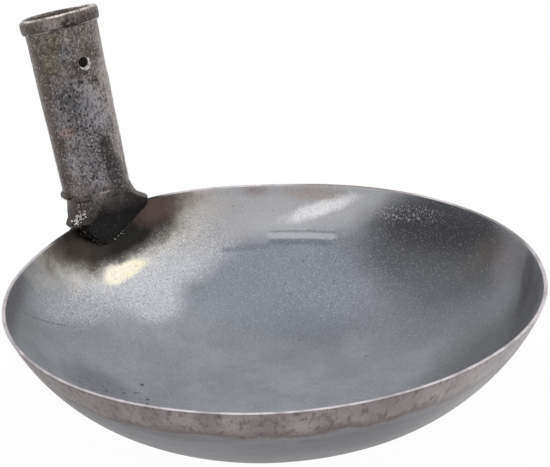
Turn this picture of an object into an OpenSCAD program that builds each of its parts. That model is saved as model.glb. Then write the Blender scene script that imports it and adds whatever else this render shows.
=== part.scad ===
// Steel wok with a small flat bottom and a hollow socket handle welded over its rim.
// Millimetres. +Z is the bowl's axis, up. The origin is the middle of the flat bottom's
// underside, on that axis. The socket leans out towards +X.

/* [Bowl] */
// Diameter across the rim, outside
rim_d = 320; // [300:1:340]
// Height of the rim above the surface that the wok stands on
bowl_depth = 74.5; // [66:0.5:84]
// Diameter of the flat on which the wok stands, where the round side begins
flat_d = 96; // [84:1:110]
// Thickness of the sheet steel
sheet_t = 2; // [1.4:0.1:2.6]

/* [Socket handle] */
// Length along the socket's axis, from the rim's plane to the mouth
socket_l = 134.5; // [110:0.5:160]
// Outside diameter at the mouth
mouth_d = 46.6; // [43:0.2:50]
// Outside diameter at the joint with the foot
foot_d = 43.2; // [40:0.2:46]
// Wall of the rolled tube at its mouth and at its foot
socket_wall = 2.4; // [1.6:0.1:3]
// Length of the straight bore inside the mouth, which seats a wooden grip
grip_bore_l = 26; // [15:1:40]
// Lean of the socket away from upright, outwards
socket_lean = 11.5; // [8:0.5:16]
// Distance from the rim's edge out to where the socket's axis crosses its plane
socket_offset = 0; // [-2:0.5:4]

/* [Nail hole] */
// Diameter of the hole for the nail that holds a wooden grip
nail_d = 6.5; // [4:0.1:8]
// Distance from the mouth down to the hole's centre
nail_drop = 30.3; // [26:0.1:45]
// Turn of the hole about the socket, from straight towards the bowl's axis
nail_turn = 11; // [-20:1:20]

/* [Mouth collar] */
// Radial thickness of the collar ring
collar_t = 2.9; // [2:0.1:4]
// Height of the collar ring
collar_h = 8.6; // [6:0.1:12]
// Rounding of the collar's outer edges
collar_round = 1.3; // [0.6:0.1:1.8]
// How far the collar stands above the tube's end
collar_lip = 0.8; // [0.2:0.1:1.2]
// Thickness of the fine weld line under the collar
collar_weld_t = 0.7; // [0.4:0.1:1.2]
// Radius of the tack that closes the collar's split
tack_r = 2.2; // [1.6:0.1:3]
// Turn of the collar's split and tack, from straight towards the bowl's axis
tack_turn = 24; // [0:1:60]

/* [Foot] */
// Height of the joint of tube and foot above the rim's plane
foot_top = 18; // [12:0.5:22]
// Half width of the foot where it straddles the rim
straddle_w = 28; // [25:0.5:32]
// Depth of the foot's lobes on both faces of the wall, below the rim
lobe_depth = 12; // [8:0.5:18]
// Half thickness of the lobes at their lower edge, from the middle of the bowl's wall
lobe_t = 3; // [2.4:0.1:4.5]
// Depth of the hollow that carries the socket's inside down into the foot
foot_hollow = 8; // [3:0.5:9]

/* [Welds] */
// Radius of the bead round the outer half of the joint of tube and foot
joint_bead_r = 2.6; // [1.6:0.1:3.4]
// Turn of the joint bead's middle about the socket, from straight outwards
joint_bead_turn = 14; // [0:1:40]
// Part of a full turn that the joint bead covers
joint_bead_sweep = 170; // [90:5:240]
// Width of the weld round the lobes, inside and outside the bowl
fillet_w = 3; // [2:0.1:5]
// Height of that weld above the bowl's surface
fillet_h = 2; // [1.2:0.1:2.5]
// Length of the weld's tails along the rim, past the foot
tail_l = 13; // [8:1:20]
// Height of the tails where they leave the foot
tail_h = 3; // [2:0.1:4]
// Radius of the largest droplet of weld spatter
spatter_r = 1.1; // [0.7:0.1:1.6]
// Number of droplets of spatter on the foot
spatter_count = 11; // [6:1:16]

/* [Hidden] */
$fn = 96;
over = 1;                 // overshoot of a cutting solid past a face
rim_r = rim_d / 2;
mouth_r = mouth_d / 2;
foot_r = foot_d / 2;

// Bowl outline: a flat, then one arc that leaves it level and ends at the rim
flat_r = flat_d / 2;
side_radius = (pow(rim_r - flat_r, 2) + pow(bowl_depth, 2)) / (2 * bowl_depth);

// Radius of the middle of the bowl's wall at a height
function wall_r(z) = flat_r + sqrt(pow(side_radius - sheet_t / 2, 2) - pow(side_radius - z, 2));

// Tube: outside radius at a height above the rim's plane, along the socket's axis
function tube_r(s) = foot_r + (mouth_r - foot_r) * (s - foot_top) / (socket_l - foot_top);
grip_bore_r = mouth_r - socket_wall;
grip_bore_s = socket_l - grip_bore_l;
foot_bore_r = foot_r - socket_wall;
collar_s = socket_l + collar_lip - collar_h;
collar_r = mouth_r + collar_t;
tack_sunk = tack_r / 3;             // the tack's centre lies this far inside the collar's face
tail_end_r = sheet_t / 4;           // radius of a weld tail's thin end

// Bore: radius at a height above the rim's plane, below the straight bore
function bore_r(s) = foot_bore_r + (grip_bore_r - foot_bore_r) * (s - foot_top) / (grip_bore_s - foot_top);

// Spatter: shares of foot_r across the foot, and of the way from its top to its lower edge
spatter_across = 0.45;
spatter_spread = 0.25;
spatter_top = 0.35;
spatter_fall = 0.5;
// Spatter: shares of spatter_r, and the turns that scatter the droplets' places and sizes
spatter_mean = 0.65;
spatter_vary = 0.35;
place_turn = 137;
size_turn = 73;

// Half outline of all that lies inside the bowl's outer face, grown by `grow` mm: what is
// above the flat, and the full round of the side's arc
module bowl_fill(grow) {
    translate([0, -grow]) square([flat_r, side_radius + grow]);
    translate([flat_r, side_radius]) circle(side_radius + grow, $fn = 360);
}

// A skin that follows the bowl, from `outside` mm outside its outer face to `inside` mm
// inside it, cut off flat at the rim
module bowl_skin(outside, inside) {
    low = -outside - over;
    rotate_extrude($fn = 180) intersection() {
        difference() {
            bowl_fill(outside);
            bowl_fill(-inside);
        }
        translate([0, low]) square([rim_d, bowl_depth - low]);
    }
}

// Puts its children in the socket's own frame: +Z out along the socket's axis, from
// the point where that axis crosses the rim's plane, and -X towards the bowl's axis
module on_socket() {
    translate([rim_r + socket_offset, 0, bowl_depth]) rotate([0, socket_lean, 0]) children();
}

module bowl() {
    color([0.55, 0.57, 0.60]) bowl_skin(0, sheet_t);
}

// A point of the socket's own frame, seen from the side: [x, z] in the part's frame
function side_view(x, s) = [rim_r + socket_offset + x * cos(socket_lean) + s * sin(socket_lean),
                            bowl_depth - x * sin(socket_lean) + s * cos(socket_lean)];

// The foot's outer shape: the tube's round end spread along the rim and hammered thin
// towards two lobes, one on each face of the bowl's wall
module foot_shape(grow) {
    lobe_low = bowl_depth - lobe_depth;
    low = [wall_r(lobe_low), lobe_low];
    lobe_round = (pow(straddle_w, 2) + pow(lobe_depth, 2)) / (2 * lobe_depth);
    aside = [lobe_t + grow, 0];
    below = [0, grow];
    intersection() {
        on_socket() union() {
            cylinder(h = foot_top, r1 = straddle_w + grow, r2 = foot_r + grow);
            translate([0, 0, -foot_d]) cylinder(h = foot_d, r = straddle_w + grow);
        }
        rotate([90, 0, 0]) linear_extrude(height = 4 * straddle_w, center = true)
            polygon([side_view(-foot_r - grow, foot_top + over), side_view(-foot_r - grow, foot_top),
                     low - aside, low - aside - below, low + aside - below, low + aside,
                     side_view(foot_r + grow, foot_top), side_view(foot_r + grow, foot_top + over)]);
        translate([0, 0, lobe_low + lobe_round]) rotate([0, 90, 0])
            cylinder(h = 2 * rim_r, r = lobe_round + grow);
    }
}

module handle_foot() {
    color([0.27, 0.25, 0.24]) difference() {
        foot_shape(0);
        intersection() {
            foot_shape(-socket_wall);
            on_socket() translate([0, 0, foot_top - foot_hollow])
                cylinder(h = foot_hollow + over, r = straddle_w);
        }
        bowl_skin(0, sheet_t);
    }
}

module socket_tube() {
    color([0.45, 0.41, 0.39]) on_socket() difference() {
        translate([0, 0, foot_top]) cylinder(h = socket_l - foot_top, r1 = foot_r, r2 = mouth_r);
        translate([0, 0, foot_top - over])
            cylinder(h = grip_bore_s - foot_top + over, r1 = bore_r(foot_top - over), r2 = grip_bore_r);
        translate([0, 0, grip_bore_s]) cylinder(h = grip_bore_l + over, r = grip_bore_r);
        nail_hole();
    }
}

module nail_hole() {
    translate([0, 0, socket_l - nail_drop]) rotate([0, -90, -nail_turn])
        cylinder(h = mouth_r + over, r = nail_d / 2, $fn = 48);
}

module mouth_collar() {
    top = socket_l + collar_lip;
    color([0.40, 0.36, 0.33]) on_socket() rotate_extrude() difference() {
        union() {
            translate([grip_bore_r, socket_l]) square([collar_r - collar_round - grip_bore_r, collar_lip]);
            translate([0, collar_s + collar_round]) square([collar_r, collar_h - 2 * collar_round]);
            translate([0, collar_s]) square([collar_r - collar_round, collar_h]);
            translate([collar_r - collar_round, collar_s + collar_round]) circle(collar_round, $fn = 48);
            translate([collar_r - collar_round, top - collar_round]) circle(collar_round, $fn = 48);
        }
        polygon([[0, collar_s - over], [tube_r(collar_s - over), collar_s - over],
                 [mouth_r, socket_l], [0, socket_l]]);
        translate([0, socket_l - over]) square([grip_bore_r, collar_lip + 2 * over]);
    }
}

module collar_weld() {
    color([0.62, 0.60, 0.57]) on_socket() rotate_extrude() difference() {
        translate([tube_r(collar_s), collar_s - collar_weld_t]) square([collar_weld_t, collar_weld_t]);
        translate([tube_r(collar_s) + collar_weld_t, collar_s - collar_weld_t])
            circle(collar_weld_t / 2, $fn = 48);
        polygon([[0, collar_s - 2 * over], [tube_r(collar_s - 2 * over), collar_s - 2 * over],
                 [tube_r(collar_s), collar_s], [0, collar_s]]);
    }
}

module collar_tack() {
    middle_s = collar_s + collar_h / 2;
    color([0.33, 0.29, 0.27]) on_socket() rotate([0, 0, 180 - tack_turn]) difference() {
        translate([collar_r - tack_sunk, 0, middle_s]) sphere(tack_r);
        translate([0, 0, collar_s - over]) cylinder(h = collar_h + 2 * over, r = collar_r);
    }
}

module joint_bead() {
    reach = 2 * joint_bead_r;
    spread_r = foot_r + (straddle_w - foot_r) * reach / foot_top;
    color([0.30, 0.27, 0.25]) on_socket() rotate([0, 0, joint_bead_turn - joint_bead_sweep / 2])
        rotate_extrude(angle = joint_bead_sweep) difference() {
            translate([foot_r, foot_top]) circle(joint_bead_r, $fn = 48);
            polygon([[0, foot_top - reach], [spread_r, foot_top - reach], [foot_r, foot_top],
                     [tube_r(foot_top + reach), foot_top + reach], [0, foot_top + reach]]);
        }
}

// A band of weld as high as fillet_h round the foot, on the skin that is its child
module weld_band() {
    difference() {
        intersection() {
            children();
            foot_shape(fillet_w);
        }
        foot_shape(0);
    }
}

module inner_weld() {
    color([0.13, 0.12, 0.11]) weld_band() bowl_skin(-sheet_t, sheet_t + fillet_h);
}

module outer_weld() {
    color([0.20, 0.18, 0.17]) weld_band() bowl_skin(fillet_h, 0);
}

// Half cones that lie on the rim's edge, one past each side of the foot
module rim_weld_tails() {
    start = (straddle_w - tail_h) / rim_r * 180 / PI;
    color([0.22, 0.20, 0.19]) difference() {
        for (side = [-1, 1])
            rotate([0, 0, side * start]) translate([rim_r - sheet_t / 2, 0, bowl_depth])
                rotate([-90 * side, 0, 0]) cylinder(h = tail_l, r1 = tail_h, r2 = tail_end_r, $fn = 48);
        translate([0, 0, -over]) cylinder(h = bowl_depth + over, r = 2 * rim_r);
        foot_shape(0);
    }
}

// A place on the foot's face that looks into the bowl, at a distance across from its
// middle and a share of the way down from the joint to the lobe's lower edge
function foot_face(across, down) =
    let (top = side_view(-foot_r, foot_top),
         low = [wall_r(bowl_depth - lobe_depth) - lobe_t, bowl_depth - lobe_depth],
         at = top + (low - top) * down)
    [at[0], across, at[1]];

module weld_spatter() {
    color([0.70, 0.68, 0.65]) for (i = [0 : spatter_count - 1]) {
        across = foot_r * (spatter_across + spatter_spread * sin(place_turn * i));
        translate(foot_face(across, spatter_top + spatter_fall * i / spatter_count))
            sphere(spatter_r * (spatter_mean + spatter_vary * cos(size_turn * i)), $fn = 24);
    }
}

bowl();
handle_foot();
socket_tube();
mouth_collar();
collar_weld();
collar_tack();
joint_bead();
inner_weld();
outer_weld();
rim_weld_tails();
weld_spatter();
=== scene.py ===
import math
import bpy
from mathutils import Matrix, Vector, noise
from mathutils.bvhtree import BVHTree


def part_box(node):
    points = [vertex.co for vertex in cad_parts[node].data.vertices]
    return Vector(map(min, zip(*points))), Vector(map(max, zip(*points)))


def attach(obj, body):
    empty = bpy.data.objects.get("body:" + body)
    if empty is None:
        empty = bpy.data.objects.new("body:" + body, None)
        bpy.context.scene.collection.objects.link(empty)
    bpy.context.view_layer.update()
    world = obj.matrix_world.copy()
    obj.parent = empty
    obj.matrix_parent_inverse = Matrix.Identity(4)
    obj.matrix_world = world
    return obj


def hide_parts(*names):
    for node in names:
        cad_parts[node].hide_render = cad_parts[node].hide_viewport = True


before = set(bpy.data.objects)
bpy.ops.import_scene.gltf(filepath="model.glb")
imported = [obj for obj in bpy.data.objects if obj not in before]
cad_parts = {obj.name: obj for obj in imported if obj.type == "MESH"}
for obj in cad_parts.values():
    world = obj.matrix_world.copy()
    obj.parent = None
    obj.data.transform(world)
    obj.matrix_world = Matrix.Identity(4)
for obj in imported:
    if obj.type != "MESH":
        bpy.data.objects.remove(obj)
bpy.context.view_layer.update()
MM = 0.001

# ---- The view ----------------------------------------------------------------------
# The wok stands level and is seen from above, across the bowl, with the handle to the
# back left. The photograph leans a little, so the camera is rolled.
IMAGE_W, IMAGE_H = 550, 467
LONG_SIDE = max(IMAGE_W, IMAGE_H)
POINTS = {
    "left": (1, 312),
    "right": (547, 286),
    "top": (92, 2),
    "bottom": (262, 464),
    "nail_hole": (84, 62.5),
    "collar_tack": (65, 22.5),
    "joint_bead": (67, 196),
    "inner_weld": (101, 246),
    "spatter": (79, 219),
    "scorch": (112, 226),
    "below_handle_highlight": (125, 271.5),
    "back_glare": (322, 208),
    "dark_wall": (436, 232),
    "speck_chain": (410, 214),
    "long_scratch": (45, 321),
}
camera_reach = 1.12
camera_turn = math.radians(138.14)
camera_height = math.radians(24.38)
camera_roll = math.radians(-3.36)
camera_lens = 124.5
sensor_width = 36
aim_right = 3.1 * MM
aim_up = 32.1 * MM
focal_points = LONG_SIDE * camera_lens / sensor_width


def polar(reach, turn, height):
    """A place by its distance from the axis, its turn in radians and its height."""
    return Vector((reach * math.cos(turn), reach * math.sin(turn), height))


def new_object(name, data):
    """An object in the scene, for a mesh, a lamp or the camera."""
    made = bpy.data.objects.new(name, data)
    bpy.context.scene.collection.objects.link(made)
    return made


rim_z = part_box("bowl")[1].z
rim_centre = Vector((0, 0, rim_z))
out_to_camera = polar(math.cos(camera_height), camera_turn, math.sin(camera_height))
eye = rim_centre + camera_reach * out_to_camera
level_right = Vector((0, 0, 1)).cross(out_to_camera).normalized()
ahead = (rim_centre + aim_right * level_right + Vector((0, 0, aim_up)) - eye).normalized()
side = ahead.cross(Vector((0, 0, 1))).normalized()
view_up = side.cross(ahead)
view_right = math.cos(camera_roll) * side + math.sin(camera_roll) * view_up
view_up = view_right.cross(ahead)

camera_data = bpy.data.cameras.new("camera")
camera_data.sensor_fit = "AUTO"
camera_data.sensor_width = sensor_width
camera_data.lens = camera_lens
camera_data.clip_start = 0.05
camera_data.clip_end = 50
camera = new_object("camera", camera_data)
camera_frame = Matrix((view_right, view_up, -ahead)).transposed().to_4x4()
camera.matrix_world = Matrix.Translation(eye) @ camera_frame
bpy.context.scene.camera = camera


NEAREST_STEPS = 20


def place_on(tree, x, y):
    """Place and normal on a finished surface, seen at an image point."""
    across = x - IMAGE_W / 2 + camera_data.shift_x * LONG_SIDE
    up = IMAGE_H / 2 - y + camera_data.shift_y * LONG_SIDE
    ray = Vector((across, up, -focal_points))
    ray = (camera.matrix_world.to_3x3() @ ray).normalized()
    place, normal = tree.ray_cast(eye, ray)[:2]
    if place is None:  # beside the object: the nearest place to the ray, found step by step
        reach = camera_reach
        for _ in range(NEAREST_STEPS):
            place, normal = tree.find_nearest(eye + reach * ray)[:2]
            reach = (place - eye).dot(ray)
    return place, normal


to_camera = camera.matrix_world.inverted()


def seen_at(place):
    """Image point at which a place shows."""
    local = to_camera @ place
    scale = focal_points / -local.z
    return Vector((IMAGE_W / 2 + local.x * scale, IMAGE_H / 2 - local.y * scale))


# ---- Stage and light ---------------------------------------------------------------
# A white studio: a floor, a white surround, one broad soft light overhead and a softer
# one from the right.
def add_node(tree, kind, inputs=None, **settings):
    """A node with its settings, and with a number or a link on each named input."""
    node = tree.nodes.new(kind)
    for name, value in settings.items():
        setattr(node, name, value)
    for name, value in (inputs or {}).items():
        if isinstance(value, bpy.types.NodeSocket):
            tree.links.new(value, node.inputs[name])
        else:
            node.inputs[name].default_value = value
    return node


def math_of(tree, operation, *values, clamp=False):
    """The value socket of a sum."""
    return add_node(tree, "ShaderNodeMath", dict(enumerate(values)), operation=operation,
                    use_clamp=clamp).outputs[0]


def white_where_seen(tree, lit, strength):
    """White for camera, mirror and glass rays, and `lit` for the rest."""
    path = add_node(tree, "ShaderNodeLightPath").outputs
    seen = math_of(tree, "MAXIMUM", path["Is Camera Ray"], path["Is Glossy Ray"])
    seen = math_of(tree, "MAXIMUM", seen, path["Is Transmission Ray"])
    share = math_of(tree, "MULTIPLY", seen, strength)
    white = add_node(tree, "ShaderNodeEmission", {"Color": (1, 1, 1, 1), "Strength": 1.0})
    return add_node(tree, "ShaderNodeMixShader", {0: share, 1: lit, 2: white.outputs[0]})


world = bpy.data.worlds.new("white surround")
world.use_nodes = True
world.node_tree.nodes.clear()
surround = add_node(world.node_tree, "ShaderNodeBackground", {"Color": (1, 1, 1, 1), "Strength": 0.55})
world_shown = white_where_seen(world.node_tree, surround.outputs[0], 1.0)
world_end = add_node(world.node_tree, "ShaderNodeOutputWorld")
world.node_tree.links.new(world_shown.outputs[0], world_end.inputs["Surface"])
bpy.context.scene.world = world


def new_mesh(name, places, faces, edges=()):
    """A mesh of places, with the faces or the edges between them."""
    made = bpy.data.meshes.new(name)
    made.from_pydata(places, edges, faces)
    return made


floor_half = 3.0
floor_corners = [(x * floor_half, y * floor_half, 0) for x, y in ((-1, -1), (1, -1), (1, 1), (-1, 1))]
floor = new_object("floor", new_mesh("floor", floor_corners, [(0, 1, 2, 3)]))
floor_paint = bpy.data.materials.new("white floor")
floor_paint.use_nodes = True
floor_paint.node_tree.nodes.clear()
matt = add_node(floor_paint.node_tree, "ShaderNodeBsdfDiffuse", {"Color": (0.86, 0.86, 0.86, 1)})
floor_shown = white_where_seen(floor_paint.node_tree, matt.outputs[0], 0.965)
floor_end = add_node(floor_paint.node_tree, "ShaderNodeOutputMaterial")
floor_paint.node_tree.links.new(floor_shown.outputs[0], floor_end.inputs["Surface"])
floor.data.materials.append(floor_paint)


def soft_light(name, place, size, power):
    """A square area light that faces the middle of the rim."""
    data = bpy.data.lights.new(name, "AREA")
    data.size = size
    data.energy = power
    lamp = new_object(name, data)
    lamp.location = place
    lamp.rotation_euler = (Vector(place) - rim_centre).to_track_quat("Z", "Y").to_euler()


soft_light("overhead light", (0.2, 0.1, 1.7), 1.4, 9)
soft_light("right light", (-0.9, -1.1, 0.9), 0.9, 5)

# ---- Bowl --------------------------------------------------------------------------
# One disc of 2 mm steel, pressed to a small flat and one round side, with the rim cut
# square. The weld's heat and the hammer have lifted the rim beside the handle, and use
# has spread the bowl a little on one side.
flat_r = 48 * MM
sheet_t = 2 * MM
rim_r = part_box("bowl")[1].y
side_radius = ((rim_r - flat_r) ** 2 + rim_z ** 2) / (2 * rim_z)
AROUND = 360
FLAT_STEPS = 16
SIDE_STEPS = 66
rim_round = 0.35 * MM
rim_lift = 4.4 * MM
lift_turn, lift_half_turn = -9, 40  # degrees round from the handle
rim_spread = 1.4 * MM
spread_turn, spread_half_turn = -132, 130
oval_short = 0.5 * MM
oval_turn = 120
ripple_depth, ripple_waves = 0.5 * MM, 22  # waves to the metre
dish_depth, dish_waves = 0.35 * MM, 30


def wall_line(inside, end_z):
    """Radius and height down one face of the bowl, from its rim to near the axis."""
    end_slope = math.acos((side_radius - end_z) / (side_radius - inside))
    slopes = [end_slope * (1 - i / SIDE_STEPS) for i in range(SIDE_STEPS)]
    line = [(flat_r + (side_radius - inside) * math.sin(slope),
             side_radius - (side_radius - inside) * math.cos(slope)) for slope in slopes]
    return line + [(flat_r * (1 - i / FLAT_STEPS), inside) for i in range(FLAT_STEPS)]


def swell(value, middle, half):
    """1 at the middle, falling smoothly to 0 a half width away."""
    share = (value - middle) / half
    return (1 - share * share) ** 2 if abs(share) < 1 else 0.0


def worked(place):
    """Moves a place on the bowl as the real sheet was moved by hammer, hand and heat."""
    reach = math.hypot(place.x, place.y)
    if reach < 1e-6:
        return place
    turn = math.degrees(math.atan2(place.y, place.x))
    up_wall = max(0.0, (reach - flat_r) / (rim_r - flat_r))
    lifted = up_wall * up_wall * rim_lift * swell(turn, lift_turn, lift_half_turn)
    oval = oval_short * (1 - math.cos(2 * math.radians(turn - oval_turn)))
    ripple = ripple_depth * noise.noise(place * ripple_waves)
    from_spread = (turn - spread_turn + 180) % 360 - 180
    spread = rim_spread * swell(from_spread, 0, spread_half_turn) * min(1.0, reach / rim_r)
    scale = 1 + (spread - max(0.0, up_wall * up_wall * oval - up_wall * ripple)) / reach
    dish = (1 - up_wall) * min(1, reach / flat_r) * dish_depth
    dish *= noise.noise(place * dish_waves + Vector((7, 3, 1)))
    return Vector((place.x * scale, place.y * scale, max(0.0, place.z + dish + lifted)))


def revolved(line, shape, around):
    """Places and faces of a line turned round +Z."""
    places = []
    faces = []
    for radius, height in line:
        for k in range(around):
            places.append(shape(polar(radius, 2 * math.pi * k / around, height)))
    rings = len(line)
    for ring in range(rings - 1):
        for k in range(around):
            after = (k + 1) % around
            faces.append((ring * around + k, ring * around + after,
                          (ring + 1) * around + after, (ring + 1) * around + k))
    return places, faces


inner_line = wall_line(sheet_t, rim_z - rim_round)
outer_line = wall_line(0, rim_z - rim_round)
rim_line = [(outer_line[0][0] - rim_round, rim_z), (inner_line[0][0] + rim_round, rim_z)]
# from the outer pole up to the rim, over it and down to the inner pole
bowl_line = outer_line[::-1] + rim_line + inner_line
places, faces = revolved(bowl_line, worked, AROUND)
outer_pole = len(places)
places.append(Vector((0, 0, 0)))
places.append(Vector((0, 0, sheet_t)))
last_ring = (len(bowl_line) - 1) * AROUND
for k in range(AROUND):
    after = (k + 1) % AROUND
    faces.append((outer_pole, after, k))
    faces.append((outer_pole + 1, last_ring + k, last_ring + after))
bowl_mesh = new_mesh("bowl_shell", places, faces)
bowl_mesh.validate()
bowl_mesh.shade_smooth()
bowl = new_object("bowl_shell", bowl_mesh)
bowl_tree = BVHTree.FromPolygons(places, faces)

OUTSIDE, EDGE, INSIDE = 0, 1, 2
for i, polygon in enumerate(bowl_mesh.polygons):
    ring = i // AROUND
    if ring < len(outer_line) - 1:
        polygon.material_index = OUTSIDE
    elif ring < len(outer_line) + 2:
        polygon.material_index = EDGE
    else:
        polygon.material_index = INSIDE
for polygon in bowl_mesh.polygons[(len(bowl_line) - 1) * AROUND:]:
    polygon.material_index = OUTSIDE if outer_pole in polygon.vertices else INSIDE


def paint(red, green, blue):
    """A colour as a screen shows it, from 0 to 255, as the light it stands for."""
    return tuple(((v / 255 + 0.055) / 1.055) ** 2.4 if v > 10 else v / 255 / 12.92
                 for v in (red, green, blue)) + (1.0,)


def mixed(tree, share, first, second):
    """The colour socket of a mix of two colours."""
    return add_node(tree, "ShaderNodeMix", {0: share, 6: first, 7: second}, data_type="RGBA").outputs[2]


def laid_over(tree, colour, mask, share, tint):
    """The colour socket with a tint laid over it, by a share of a mask."""
    return mixed(tree, math_of(tree, "MULTIPLY", mask, share), colour, tint)


def rest_of(tree, value):
    """The value socket of 1 less a value."""
    return math_of(tree, "SUBTRACT", 1.0, value)


def new_group(name, takes, gives, kind="Shader"):
    """An empty node group, and the sockets of what it takes and of what it gives.
    Each thing it takes has a name, a sort and, but for None, a first value."""
    group = bpy.data.node_groups.new(name, kind + "NodeTree")
    for socket, sort, start in takes:
        made = group.interface.new_socket(name=socket, in_out="INPUT", socket_type="NodeSocket" + sort)
        if start is not None:
            made.default_value = start
    for socket, sort in gives:
        group.interface.new_socket(name=socket, in_out="OUTPUT", socket_type="NodeSocket" + sort)
    return group, group.nodes.new("NodeGroupInput").outputs, group.nodes.new("NodeGroupOutput").inputs


def eased(tree, value, low, high):
    """The value socket of 0 below low, 1 above high, and a smooth slope between."""
    return add_node(tree, "ShaderNodeMapRange", {"Value": value, "From Min": low, "From Max": high},
                    interpolation_type="SMOOTHSTEP").outputs["Result"]


def vector_of(tree, operation, *values):
    """The output sockets of a sum of vectors."""
    return add_node(tree, "ShaderNodeVectorMath", dict(enumerate(values)), operation=operation).outputs


# a soft patch: its length and width lie along two vectors, each one over the half size
tree, given, given_back = new_group("Soft patch", [
    ("Position", "Vector", None), ("Grain at", "Vector", None), ("Centre", "Vector", (0, 0, 0)),
    ("Along", "Vector", (1, 0, 0)), ("Across", "Vector", (0, 1, 0)), ("Softness", "Float", 0.4),
    ("Ragged", "Float", 0.3), ("Grain", "Float", 60.0)], [("Mask", "Float")])
patch_group = tree
away = vector_of(tree, "SUBTRACT", given["Position"], given["Centre"])[0]
parts = [vector_of(tree, "DOT_PRODUCT", away, given[way])["Value"] for way in ("Along", "Across")]
cloud = add_node(tree, "ShaderNodeTexNoise",
                 {"Vector": given["Grain at"], "Scale": given["Grain"], "Detail": 5.0, "Roughness": 0.62})
squares = [math_of(tree, "MULTIPLY", part, part) for part in parts]
apart = math_of(tree, "SQRT", math_of(tree, "ADD", *squares))
uneven = math_of(tree, "SUBTRACT", cloud.outputs["Fac"], 0.5)
shaken = math_of(tree, "MULTIPLY_ADD", uneven, given["Ragged"], apart)
beyond = eased(tree, shaken, rest_of(tree, given["Softness"]),
               math_of(tree, "ADD", 1.0, given["Softness"]))
tree.links.new(rest_of(tree, beyond), given_back["Mask"])

# pits: small round hollows at random, each cell of the pattern with or without one
tree, given, given_back = new_group("Pits", [
    ("Position", "Vector", None), ("Scale", "Float", 300.0), ("Share", "Float", 0.2),
    ("Size", "Float", 0.3)], [("Mask", "Float")])
pit_group = tree
cells = add_node(tree, "ShaderNodeTexVoronoi", {"Vector": given["Position"], "Scale": given["Scale"]})
chance = add_node(tree, "ShaderNodeSeparateColor", {0: cells.outputs["Color"]})
chosen = math_of(tree, "LESS_THAN", chance.outputs[0], given["Share"])
pit_size = math_of(tree, "MULTIPLY", given["Size"], math_of(tree, "ADD", 0.4, chance.outputs[1]))
pit_floor = math_of(tree, "MULTIPLY", pit_size, 0.5)
pit_depth = rest_of(tree, eased(tree, cells.outputs["Distance"], pit_floor, pit_size))
tree.links.new(math_of(tree, "MULTIPLY", chosen, pit_depth), given_back["Mask"])

# clouds: an uneven stain or tarnish, from none to full between two levels of noise
tree, given, given_back = new_group("Clouds", [
    ("Position", "Vector", None), ("Scale", "Float", 30.0), ("Detail", "Float", 6.0),
    ("Roughness", "Float", 0.6), ("Low", "Float", 0.4), ("High", "Float", 0.6)],
    [("Mask", "Float"), ("Noise", "Float")])
cloud_group = tree
cloud = add_node(tree, "ShaderNodeTexNoise",
                 {"Vector": given["Position"], "Scale": given["Scale"], "Detail": given["Detail"],
                  "Roughness": given["Roughness"]}).outputs["Fac"]
tree.links.new(eased(tree, cloud, given["Low"], given["High"]), given_back["Mask"])
tree.links.new(cloud, given_back["Noise"])

# a band that follows a ring round the bowl, between two turns, in metres and radians
tree, given, given_back = new_group("Ring band", [
    ("Position", "Vector", None), ("Reach", "Float", 0.14), ("Width", "Float", 0.004),
    ("Turn", "Float", 0.0), ("Half turn", "Float", 0.2), ("Ragged", "Float", 0.001),
    ("Grain", "Float", 400.0)], [("Mask", "Float")])
ring_group = tree
axes = add_node(tree, "ShaderNodeSeparateXYZ", {0: given["Position"]}).outputs
squares = [math_of(tree, "POWER", axes[k], 2.0) for k in (0, 1)]
reach = math_of(tree, "SQRT", math_of(tree, "ADD", *squares))
shake = add_node(tree, "ShaderNodeTexNoise",
                 {"Vector": given["Position"], "Scale": given["Grain"], "Detail": 4.0}).outputs["Fac"]
off_ring = math_of(tree, "ABSOLUTE", math_of(tree, "SUBTRACT", reach, given["Reach"]))
shaken = math_of(tree, "MULTIPLY_ADD", math_of(tree, "SUBTRACT", shake, 0.5),
                 given["Ragged"], off_ring)
off_ring = math_of(tree, "DIVIDE", shaken, given["Width"])
turned = math_of(tree, "SUBTRACT", math_of(tree, "ARCTAN2", axes[1], axes[0]), given["Turn"])
along = math_of(tree, "DIVIDE", math_of(tree, "ABSOLUTE", turned), given["Half turn"])
band = math_of(tree, "MULTIPLY", rest_of(tree, eased(tree, off_ring, 0.2, 0.6)),
               rest_of(tree, eased(tree, along, 0.75, 1.0)))
tree.links.new(band, given_back["Mask"])

# flecks: fine light and dark specks, where scale has lifted or a grinder has bitten
tree, given, given_back = new_group(
    "Flecks", [("Position", "Vector", None), ("Scale", "Float", 700.0)],
    [("Light", "Float"), ("Dark", "Float")])
fleck_group = tree
fine = add_node(tree, "ShaderNodeTexNoise",
                {"Vector": given["Position"], "Scale": given["Scale"], "Detail": 4.0,
                 "Roughness": 0.75}).outputs["Fac"]
tree.links.new(eased(tree, fine, 0.52, 0.7), given_back["Light"])
tree.links.new(rest_of(tree, eased(tree, fine, 0.32, 0.47)), given_back["Dark"])


def use_group(tree, group, **inputs):
    """A shader group placed in a material, its inputs by name."""
    return add_node(tree, "ShaderNodeGroup", inputs, node_tree=group).outputs


def new_steel(name, metallic, roughness):
    """A material with a steel shader, and its Object coordinates."""
    material = bpy.data.materials.new(name)
    material.use_nodes = True
    tree = material.node_tree
    shader = tree.nodes["Principled BSDF"]
    shader.inputs["Metallic"].default_value = metallic
    shader.inputs["Roughness"].default_value = roughness
    place = add_node(tree, "ShaderNodeTexCoord").outputs["Object"]
    return material, tree, shader, place


def bumped(tree, shader, height, distance, strength=1.0):
    """Feeds a height in to the shader's normal."""
    bump = add_node(tree, "ShaderNodeBump", {"Height": height, "Distance": distance, "Strength": strength})
    tree.links.new(bump.outputs[0], shader.inputs["Normal"])


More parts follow.
